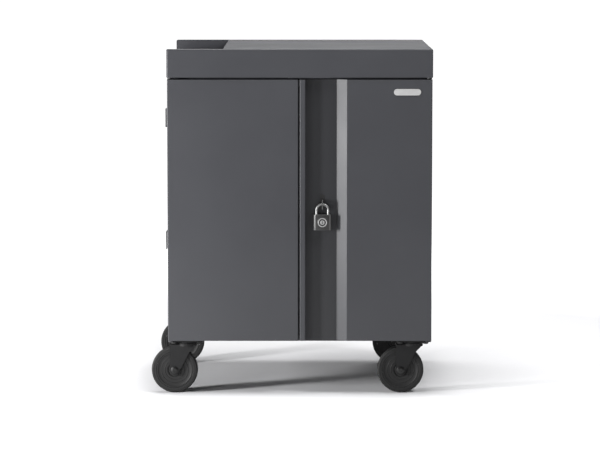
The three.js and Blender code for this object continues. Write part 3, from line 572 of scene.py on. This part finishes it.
# The first key that is part of a node's name gives its finish; every other node is charcoal
NODE_FINISHES = {
    "catch": BLACK_PLASTIC, "right_door_": DARK_ZINC, "right_door": RECESS_SHADED_CHARCOAL,
    "caster_mount": BLACK_PAINT, "caster_fork": BLACK_PAINT, "power_controller": BLACK_PAINT,
    "axle_bolt": ZINC, "wheel_core": WHEEL_PLASTIC, "tyre": RUBBER,
    "_pin": DARK_ZINC, "_guide": DARK_ZINC, "door_bolt": DARK_ZINC, "lock_bar": LOCK_STEEL,
    "padlock_shackle": SHACKLE_STEEL, "padlock_cylinder": SILVER_PAINT,
    "padlock_body": LOCK_COAT, "rear_lock": DARK_ZINC, "divider_rack": BLACK_PLASTIC,
    "power_inlet": BLACK_PLASTIC, "outlet_strip": GREY_PLASTIC, "power_switch": RED_PLASTIC,
}


def paint_nodes():
    for name, node in nodes.items():
        finish = next((f for key, f in NODE_FINISHES.items() if key in name), CHARCOAL)
        node.data.materials.clear()
        node.data.materials.append(finish)


# Caster wheels: a ringed core and a crowned tyre
def mirrored(half):
    """A closed wheel profile from its half on the +Y side."""
    return half + facing(half[::-1], -1) + half[:1]


def arc(centre, radius, start, end, steps):
    """Profile points on an arc, with angles in degrees."""
    angles = [math.radians(start + (end - start) * i / steps) for i in range(steps + 1)]
    return [(centre[0] + radius * math.cos(a), centre[1] + radius * math.sin(a)) for a in angles]


WHEEL_STEPS = 96
TYRE_HALF = [
    (65.0, 0), (64.9, 6), (64.6, 10),
    *arc((59.6, 11), 5, 0, 90, 6),
    (58.9, 16), (58.5, 15.3), (57.7, 15.3), (57.3, 16), (52.1, 16), (51.5, 15.4), (51.5, 0),
]
CORE_HALF = [
    (51.2, 0), (51.2, 14.6), (50.8, 15), (47.6, 15), (47.0, 14.2), (46.2, 13.8),
    (38.6, 13.6), (38.0, 14.2), (37.0, 14.2), (36.4, 13.5), (28.8, 13.3), (28.2, 13.9),
    (27.2, 13.9), (26.6, 13.2), (20.6, 13.0), (20.0, 10.4), (16.4, 10.2), (15.8, 12.6),
    (15.4, 15.9), (14.6, 16.7), (9.2, 16.7), (8.8, 16.2), (5.4, 16.2), (5.4, 0),
]


def build_wheels():
    for corner in CORNERS:
        centre = measure(f"{corner}_tyre").middle
        tyre = turned(f"{corner}_tyre_skin", mirrored(TYRE_HALF), centre, WHEEL_STEPS)
        dress(tyre, f"{corner}_wheel", RUBBER, [f"{corner}_tyre"])
        core = turned(f"{corner}_wheel_disc", mirrored(CORE_HALF), centre, WHEEL_STEPS)
        dress(core, f"{corner}_wheel", WHEEL_PLASTIC, [f"{corner}_wheel_core"])


# Caster fasteners in black zinc: bolts of the mounting plates, and the axle bolts
PLATE_SHEET = 4
BOLT_GRID = [(x, y) for x in (-35.5, 35.5) for y in (-22, 22)]
BOLT_STEPS = 32
# Radius over the corners, and height
PLATE_HEAD = (8.1, 5.2)
AXLE_HEAD = (8.4, 4.4)
PLATE_WASHER = [(4, 0), (10.2, 0), (10.2, 0.8), (9.8, 1.1), (4, 1.1), (4, 0)]
AXLE_WASHER = [(5, 0), (10.5, 0), (10.5, 0.9), (10, 1.3), (5, 1.3), (5, 0)]
AXLE_RADIUS = 5
AXLE_END = 5
# Shares of a head's radius
HEAD_CHAMFER, HEAD_RIM, HEAD_DISH = 0.12, 0.25, 0.05


def stand(head, height, seat, axis, smooth):
    """A head that was made along Z, stood on its seat along an axis."""
    bpy.ops.object.mode_set(mode="OBJECT")
    head.rotation_euler = Vector(axis).to_track_quat("Z", "X").to_euler()
    head.location = (Vector(seat) + Vector(axis) * height / 2) * MM
    return settle(head, "head", smooth)


def hex_head(radius, height, seat, axis):
    """A chamfered and slightly dished hexagon head, standing from its seat along the axis."""
    begin()
    bpy.ops.mesh.primitive_cylinder_add(vertices=6, radius=radius * MM, depth=height * MM)
    head = bpy.context.object
    pick(head, lambda place, normal: normal.z > ABOUT)
    round_edges(radius * HEAD_CHAMFER, 2)
    pick(head, lambda place, normal: normal.z > ABOUT)
    bpy.ops.mesh.inset(thickness=radius * HEAD_RIM * MM, depth=-radius * HEAD_DISH * MM)
    return stand(head, height, seat, axis, CRISP_ANGLE)


def build_caster_bolts():
    for corner in CORNERS:
        _, high, middle = measure(f"{corner}_caster_mount")
        pieces = []
        for x, y in BOLT_GRID:
            seat = Vector((middle.x + x, middle.y + y, high.z - PLATE_SHEET))
            pieces.append(hex_head(*PLATE_HEAD, seat, (0, 0, -1)))
            pieces.append(turned("washer", facing(PLATE_WASHER, -1), seat, BOLT_STEPS, "z"))
        bolts = joined(f"{corner}_plate_bolts", *pieces)
        dress(bolts, "cabinet", DARK_ZINC)


def build_axle_bolts():
    for corner in CORNERS:
        low, high, middle = measure(f"{corner}_axle_bolt")
        half = (high.y - low.y) / 2
        shank = half - AXLE_END / 2
        pieces = [turned("shank", drum(AXLE_RADIUS, -shank, shank), middle, BOLT_STEPS)]
        for side in (-1, 1):
            seat = middle + Vector((0, side * (half - AXLE_END), 0))
            pieces.append(hex_head(*AXLE_HEAD, seat, (0, side, 0)))
            pieces.append(turned("washer", facing(AXLE_WASHER, side), seat, BOLT_STEPS))
        bolt = joined(f"{corner}_axle_hex_bolt", *pieces)
        dress(bolt, f"{corner}_fork", DARK_ZINC, [f"{corner}_axle_bolt"])


# Padlock: a coated body with a dark enamel face, a plug with its keyway, and the round shackle
BODY_CORNER, BODY_EDGE = 6, 1.2
BEZEL_PROUD = 0.8
FACE_HALF, FACE_MARGIN, FACE_EDGE = 18.6, 0.7, 0.2
FACE_PROUD, FACE_SUNK = 0.35, 0.2
SHACKLE_RADIUS = 3.5
SHORT_LEG_RISE = 11
PLUG_DEPTH = 7
PLUG_PLAY = 0.3
SHACKLE_WELL = drum(4, -3, 3)
PLUG_WELL = drum(9.9, -1, PLUG_DEPTH + PLUG_PLAY)
FACE_WELL = drum(11.5, -2, 2)
BEZEL = [(9.9, 1), (9.9, -0.7), (10.5, -1.1), (12.2, -1.1), (12.8, -0.6), (12.8, 1), (9.9, 1)]
# Profile of the black ring of painted shade in the groove round the plug
GROOVE_SHADE_RING = [(6.1, 2.5), (9.6, 2.5), (9.6, 1.6), (6.1, 1.6), (6.1, 2.5)]
PLUG = [
    (0, PLUG_DEPTH), (9.5, PLUG_DEPTH), (9.5, 2.2), (6.4, 2.2),
    (6.4, 0.1), (6.0, -0.3), (3.4, -0.4), (0, -0.4),
]
KEYWAY_HALF, KEYWAY_EDGE = (0.9, 4.5), 0.3
PLUG_KEYWAY = (-2, 4)
BOW_STEPS = 28


def keyway(place, face, reach):
    """A cutter for the slot of a key, with its two ends along Y measured from a face."""
    half_width, half_height = KEYWAY_HALF
    return rounded_block("keyway", (place.x - half_width, face + reach[0], place.z - half_height),
                         (place.x + half_width, face + reach[1], place.z + half_height),
                         KEYWAY_EDGE)


def build_padlock():
    low, high, _ = measure("padlock_body")
    low.y += BEZEL_PROUD
    middle = (low + high) / 2
    front = Vector((middle.x, low.y, middle.z))
    body = start_block(low, high)
    pick(body, lambda place, along: abs(along.z) > ABOUT, "EDGE")
    round_edges(BODY_CORNER, 6)
    pick(body, lambda place, normal: abs(normal.z) > ABOUT)
    round_edges(BODY_EDGE, 3)
    body = settle(body, "padlock_steel_body")
    wells = [turned("well", SHACKLE_WELL, (x, middle.y, high.z), SMALL_ROUND, "z")
             for x in shackle_legs()]
    plug_well = turned("well", PLUG_WELL, front, MIDDLE_ROUND)
    face = rounded_block(
        "padlock_face", (middle.x - FACE_HALF, low.y - FACE_PROUD, low.z + FACE_MARGIN),
        (middle.x + FACE_HALF, low.y + FACE_SUNK, high.z - FACE_MARGIN), FACE_EDGE)
    face_well = turned("well", FACE_WELL, front, MIDDLE_ROUND)
    bezel = turned("padlock_bezel", BEZEL, front, LARGE_ROUND)
    dress(cut(body, *wells, plug_well), "padlock_body", LOCK_COAT,
          ["padlock_body"])
    dress(cut(face, face_well), "padlock_body", LABEL_BLACK)
    dress(bezel, "padlock_body", SILVER_PAINT)
    # A black ring in the groove round the plug: painted shade that makes the groove darker than its
    # depth alone does
    groove_shade = turned("padlock_groove_shade_ring", GROOVE_SHADE_RING, front, LARGE_ROUND)
    dress(groove_shade, "padlock_cylinder", LABEL_BLACK)
    plug = turned("padlock_plug", PLUG, front, LARGE_ROUND)
    slot = keyway(front, low.y, PLUG_KEYWAY)
    dress(cut(plug, slot), "padlock_cylinder", SILVER_PAINT,
          ["padlock_cylinder"])


def shackle_legs():
    low, high, _ = measure("padlock_shackle")
    return low.x + SHACKLE_RADIUS, high.x - SHACKLE_RADIUS


def build_shackle():
    low, high, middle = measure("padlock_shackle")
    left, right = shackle_legs()
    bow_z = high.z - SHACKLE_RADIUS - (right - left) / 2
    begin()
    bpy.ops.mesh.primitive_circle_add(vertices=SMALL_ROUND, radius=SHACKLE_RADIUS * MM,
                                      location=Vector((left, middle.y, bow_z)) * MM)
    bar = bpy.context.object
    freeze()
    all_corners()
    bpy.ops.mesh.spin(steps=BOW_STEPS, angle=-TURN / 2, axis=(0, 1, 0),
                      center=Vector((middle.x, middle.y, bow_z)) * MM)
    for side, end in ((-1, low.z), (1, low.z + SHORT_LEG_RISE)):
        pick(bar, lambda place, along: abs(place.z / MM - bow_z) < SAME_PLACE
             and side * (place.x / MM - middle.x) > 0, "EDGE")
        drop = (0, 0, (end - bow_z) * MM)
        bpy.ops.mesh.extrude_edges_move(TRANSFORM_OT_translate={"value": drop})
    bpy.ops.mesh.select_all(action="SELECT")
    bpy.ops.mesh.fill_holes(sides=0)
    dress(settle(bar, "padlock_round_shackle", ROUND_ANGLE), "padlock_shackle", SHACKLE_STEEL,
          ["padlock_shackle"])


# Bare oval plate near the top right corner of the right door
PLATE_INSET = (69.5, 34.5)
PLATE_SIZE = (75, 18)
PLATE_THICK = 2.2
PLATE_EDGE = 0.6
PLATE_RIM = 0.9
# Width and depth of the step inside the rim
PLATE_STEP = (0.3, 0.35)


def build_oval_plate():
    low, high, _ = measure("right_door")
    x, z = high.x - PLATE_INSET[0], high.z - PLATE_INSET[1]
    width, height = PLATE_SIZE
    begin()
    bpy.ops.mesh.primitive_cylinder_add(
        vertices=LARGE_ROUND, radius=height / 2 * MM, depth=PLATE_THICK * MM,
        rotation=(TURN / 4, 0, 0), location=Vector((x, low.y - PLATE_THICK / 2, z)) * MM)
    plate = bpy.context.object
    freeze()
    for side in (-1, 1):
        pick(plate, lambda place: side * (place.x / MM - x) > SAME_PLACE, "VERT")
        bpy.ops.transform.translate(value=(side * (width - height) / 2 * MM, 0, 0))
    pick(plate, lambda place, normal: normal.y < -ABOUT)
    round_edges(PLATE_EDGE, 3)
    pick(plate, lambda place, normal: normal.y < -SQUARE)
    bpy.ops.mesh.inset(thickness=PLATE_RIM * MM, depth=0)
    bpy.ops.mesh.inset(thickness=PLATE_STEP[0] * MM, depth=-PLATE_STEP[1] * MM)
    dress(settle(plate, "oval_plate", EDGED_ANGLE), "right_door", PLATE_SILVER)


# Power bay: sockets of the outlet strips, inlet pins, controller trim
OUTLETS = 12
OUTLET_END = 40
SOCKET_HALF = (14, 13)
SOCKET_PROUD = 1.6
SOCKET_CORNER, SOCKET_EDGE = 4, 0.5
# How far the openings in a socket reach above the strip: floor, and top of the cutter
OPENING = (0.4, 3)
SLOT_PLACES, SLOT_HALF, SLOT_SPAN, SLOT_EDGE = (-6.3, 6.3), 1.2, (-1.5, 7), 0.3
EARTH_RADIUS, EARTH_DROP, EARTH_STEPS = 2.7, 7, 16
INLET_FLOOR = 4
PIN_PLACES = ((-7, -2), (0, 2), (7, -2))
PIN_HALF, PIN_LENGTH, PIN_ROOT, PIN_EDGE = (1, 3), 14, 1, 0.6
RIBS, RIB_START, RIB_PITCH, RIB_WIDTH = 12, 30, 12, 6
RIB_FRONT, RIB_BACK = 22, 30
RIB_ROOT, RIB_RISE, RIB_EDGE = 0.5, 1.6, 0.7
LENS = [(0, 1.8), (1.8, 1.4), (2.8, 0.4), (2.8, -1), (0, -1)]
LAMP_PLACES = (64, 80, 96)
SCREW_INSET = (9, 8)
SCREW_RADIUS, SCREW_HEIGHT, SCREW_EDGE = 3.6, 2.2, 0.9
SCREW_RIM, SCREW_DEPTH = 1.0, 1.2


def build_sockets():
    half_width, half_height = SOCKET_HALF
    for tier in ("lower", "upper"):
        low, high, middle = measure(f"{tier}_outlet_strip")
        face = high.y
        first = low.x + OUTLET_END
        pitch = 2 * (middle.x - first) / (OUTLETS - 1)
        plate = start_block((first - half_width, face, middle.z - half_height),
                            (first + half_width, face + SOCKET_PROUD, middle.z + half_height))
        pick(plate, lambda place, along: abs(along.y) > ABOUT, "EDGE")
        round_edges(SOCKET_CORNER, 4)
        pick(plate, lambda place, normal: normal.y > ABOUT)
        round_edges(SOCKET_EDGE, 2)
        plate = settle(plate, "socket")
        slots = [rounded_block(
            "slot", (first + x - SLOT_HALF, face + OPENING[0], middle.z + SLOT_SPAN[0]),
            (first + x + SLOT_HALF, face + OPENING[1], middle.z + SLOT_SPAN[1]),
            SLOT_EDGE, 1) for x in SLOT_PLACES]
        earth = turned("earth", drum(EARTH_RADIUS, *OPENING),
                       (first, face, middle.z - EARTH_DROP), EARTH_STEPS)
        socket = cut(plate, *slots, earth)
        moves = [(i * pitch, 0, 0) for i in range(OUTLETS)]
        sockets = copies(socket, moves, f"{tier}_outlet_sockets")
        dress(sockets, "cabinet", BLACK_PLASTIC)


def build_inlet_pins():
    _, high, middle = measure("power_inlet")
    floor = high.x - INLET_FLOOR
    half_width, half_height = PIN_HALF
    pins = []
    for across, up in PIN_PLACES:
        y, z = middle.y + across, middle.z + up
        pins.append(rounded_block(
            "pin", (floor - PIN_LENGTH, y - half_width, z - half_height),
            (floor + PIN_ROOT, y + half_width, z + half_height), PIN_EDGE))
    dress(joined("inlet_pins", *pins), "cabinet", ZINC)


def build_controller_trim():
    low, high, middle = measure("power_controller")
    ribs = []
    for i in range(RIBS):
        x = low.x + RIB_START + i * RIB_PITCH
        ribs.append(rounded_block(
            "rib", (x, low.y + RIB_FRONT, high.z - RIB_ROOT),
            (x + RIB_WIDTH, high.y - RIB_BACK, high.z + RIB_RISE), RIB_EDGE))
    dress(joined("controller_vent_ribs", *ribs), "cabinet", BLACK_PAINT)
    lamps = [turned("lamp", LENS, (low.x + x, high.y, middle.z), SMALL_ROUND)
             for x in LAMP_PLACES]
    dress(joined("controller_lamps", *lamps), "cabinet", LAMP_GREEN)
    across, up = SCREW_INSET
    screws = [screw((x, high.y, z), (0, 1, 0)) for x in (low.x + across, high.x - across)
              for z in (low.z + up, high.z - up)]
    dress(joined("controller_screws", *screws), "cabinet", ZINC)


def screw(seat, axis):
    """A pan head with a round socket, standing from its seat along the axis."""
    begin()
    bpy.ops.mesh.primitive_cylinder_add(vertices=SMALL_ROUND, radius=SCREW_RADIUS * MM,
                                        depth=SCREW_HEIGHT * MM)
    head = bpy.context.object
    pick(head, lambda place, normal: normal.z > ABOUT)
    round_edges(SCREW_EDGE, 3)
    pick(head, lambda place, normal: normal.z > SQUARE)
    bpy.ops.mesh.inset(thickness=SCREW_RIM * MM, depth=0)
    bpy.ops.mesh.extrude_region_move(TRANSFORM_OT_translate={"value": (0, 0, -SCREW_DEPTH * MM)})
    return stand(head, SCREW_HEIGHT, seat, axis, EDGED_ANGLE)


# Rivets that fix the shelf and partitions to the side panels, and the guides to the doors
RIVET = [(0, 1.3), (1.4, 1.2), (2.6, 0.8), (3.4, 0.1), (3.4, -0.4), (0, -0.4)]
RIVET_STEPS = 20
SHELF_RIVETS, SHELF_DROP = (-240, -120, 0), 10
PARTITION_SHARES, PARTITION_INSET = (0.12, 0.5, 0.88), 7
GUIDE_INSET = 4.5


def rivet(place, axis, side):
    return turned("rivet", facing(RIVET, side), place, RIVET_STEPS, axis, ROUND_ANGLE)


def build_side_rivets():
    shelf_top = measure("middle_shelf").high.z
    rows = [(y, shelf_top - SHELF_DROP) for y in SHELF_RIVETS]
    for tier in ("lower", "upper"):
        low, high, _ = measure(f"{tier}_partition")
        rows += [(high.y - PARTITION_INSET, low.z + (high.z - low.z) * share)
                 for share in PARTITION_SHARES]
    left_face = measure("left_side_panel").low.x
    right_face = measure("right_side_panel").high.x
    for name, face, side in (("left", left_face, -1), ("right", right_face, 1)):
        heads = [rivet((face, y, z), "x", side) for y, z in rows]
        dress(joined(f"{name}_side_rivets", *heads), "cabinet", CHARCOAL)


def build_guide_rivets():
    heads = []
    for level in ("upper", "lower"):
        low, high, middle = measure(f"lock_bar_{level}_guide")
        for x in (low.x + GUIDE_INSET, high.x - GUIDE_INSET):
            heads.append(rivet((x, high.y, middle.z), "y", 1))
    dress(joined("guide_rivets", *heads), "right_door", ZINC)


# Rear door: near-black pads inside its two banks of vent slots, a dark sheet of painted shade that
# also stops light through the slots, and the face of its lock
VENT_DROP = 100.5
VENT_RISE = 98.5
PAD_HALF = (246, 44)
PAD_THICK, PAD_GAP, PAD_EDGE = 2, 0.05, 0.5
DOOR_SHEET = 1.5
LOCK_RADIUS = 12
LOCK_SEAT = 2.2
LOCK_KEYWAY = (-1.6, 2)
LOCK_RIM = [
    (0, 2.4), (6.4, 2.4), (6.8, 2.0), (7.4, 2.0), (7.8, 2.5),
    (10.8, 2.5), (12.2, 1.4), (12.2, 0), (0, 0),
]


def build_vent_shade_pads():
    low, high, middle = measure("rear_door")
    half_width, half_height = PAD_HALF
    face = high.y - DOOR_SHEET
    pads = [rounded_block(
        "pad", (middle.x - half_width, face - PAD_THICK, z - half_height),
        (middle.x + half_width, face - PAD_GAP, z + half_height), PAD_EDGE)
        for z in (low.z + VENT_RISE, high.z - VENT_DROP)]
    dress(joined("vent_shade_pads", *pads), "rear_door", VENT_SHADE_PAD)


def build_rear_lock_face():
    low, high, _ = measure("rear_lock")
    height = measure("rear_door").middle.z
    place = Vector((low.x + LOCK_RADIUS, high.y - LOCK_SEAT, height))
    face = turned("rear_lock_face", LOCK_RIM, place, MIDDLE_ROUND)
    slot = keyway(place, high.y, LOCK_KEYWAY)
    dress(cut(face, slot), "rear_lock", CHROME)


set_camera()
set_studio()
lay_floor()
paint_nodes()
build_wheels()
build_caster_bolts()
build_axle_bolts()
build_padlock()
build_shackle()
build_oval_plate()
build_sockets()
build_inlet_pins()
build_controller_trim()
build_side_rivets()
build_guide_rivets()
build_vent_shade_pads()
build_rear_lock_face()
